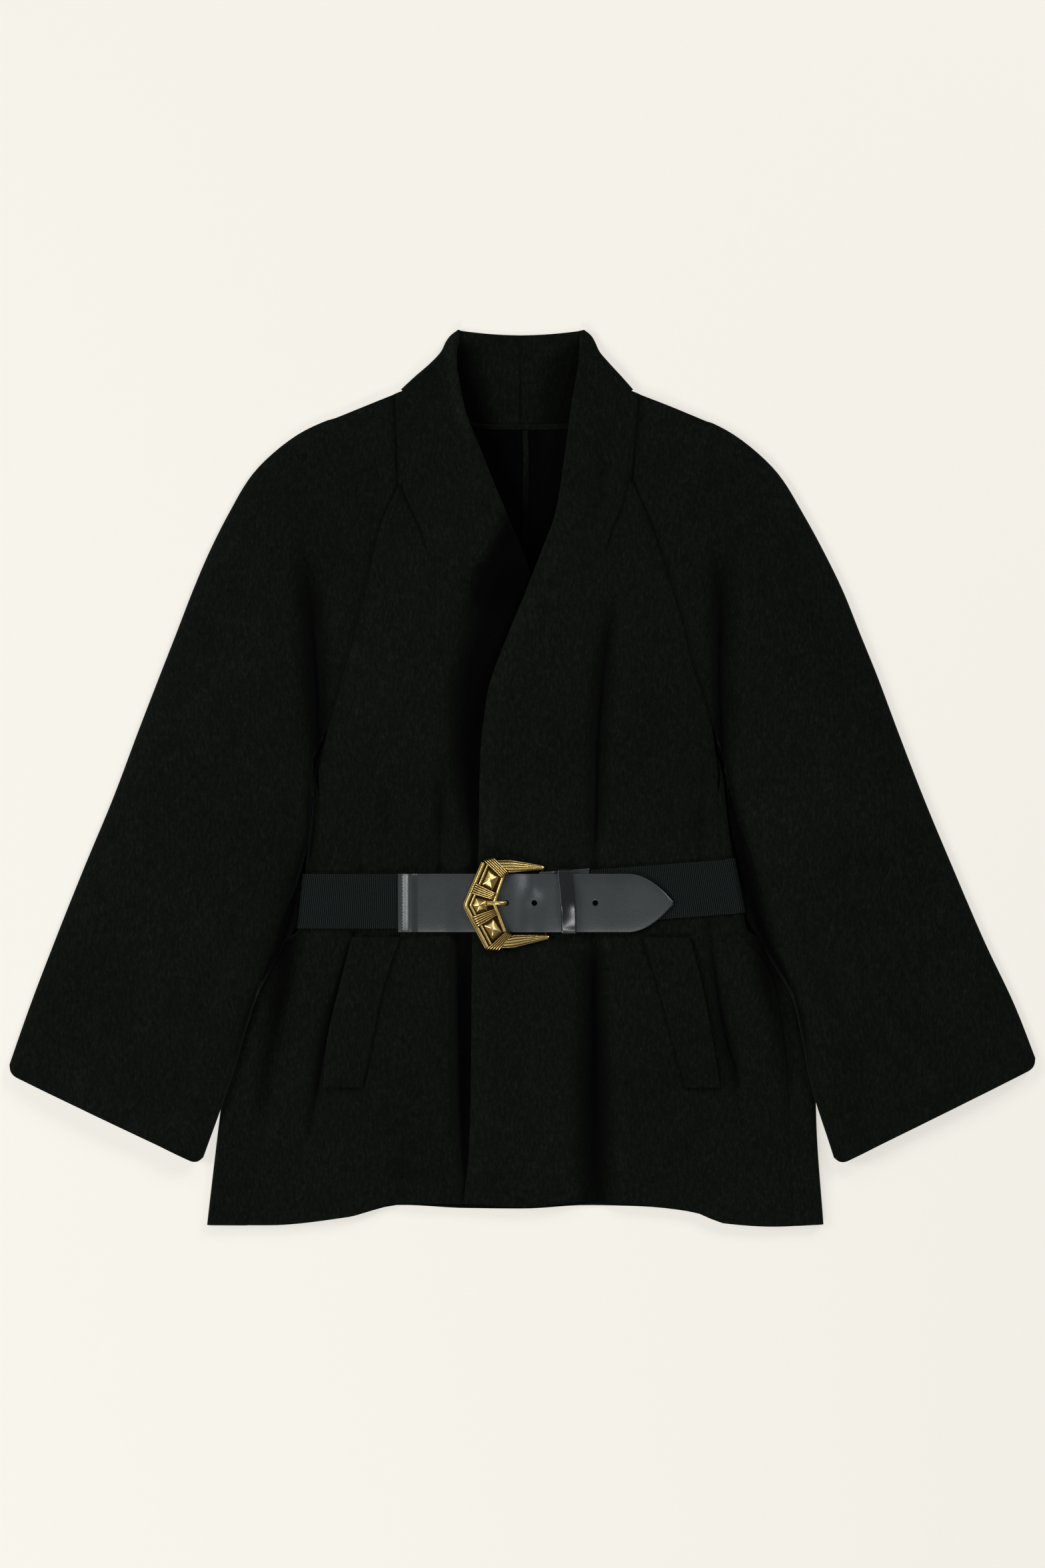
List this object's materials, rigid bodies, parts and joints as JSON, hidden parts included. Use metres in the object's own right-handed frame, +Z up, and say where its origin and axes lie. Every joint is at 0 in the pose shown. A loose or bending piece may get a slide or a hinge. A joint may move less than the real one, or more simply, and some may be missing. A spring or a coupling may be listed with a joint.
{
  "type": "short belted wool cape-jacket",
  "caption": "Short black wool cape-jacket with raglan sleeves, wrap front, grown-on stand collar, welt pockets and a buckled elastic belt, laid flat.",
  "frame": {"origin": "on the ground, under the middle of the garment's bounding box", "axes": "+Z up from the ground, +Y towards the collar, +X across the sleeves"},
  "size_m": [0.888, 0.7724, 0.0249],
  "materials": {
    "wool": "matt black milled wool with a short nap",
    "elastic": "ribbed elastic webbing",
    "leather": "satin slate-black leather",
    "gold": "antique gold plate, dark in the recesses"
  },
  "bodies": {
    "root": {"back_left": "wool", "back_right": "wool", "front_left": "wool", "front_right": "wool", "sleeve_back_left": "wool", "sleeve_back_right": "wool", "sleeve_front_left": "wool", "sleeve_front_right": "wool", "pocket_welt_left": "wool", "pocket_welt_right": "wool", "neck_tape": "wool", "belt_elastic": "elastic", "belt_chape": "leather", "belt_strap": "leather", "belt_keeper": "leather", "belt_buckle": "gold"}
  },
  "joints": []
}
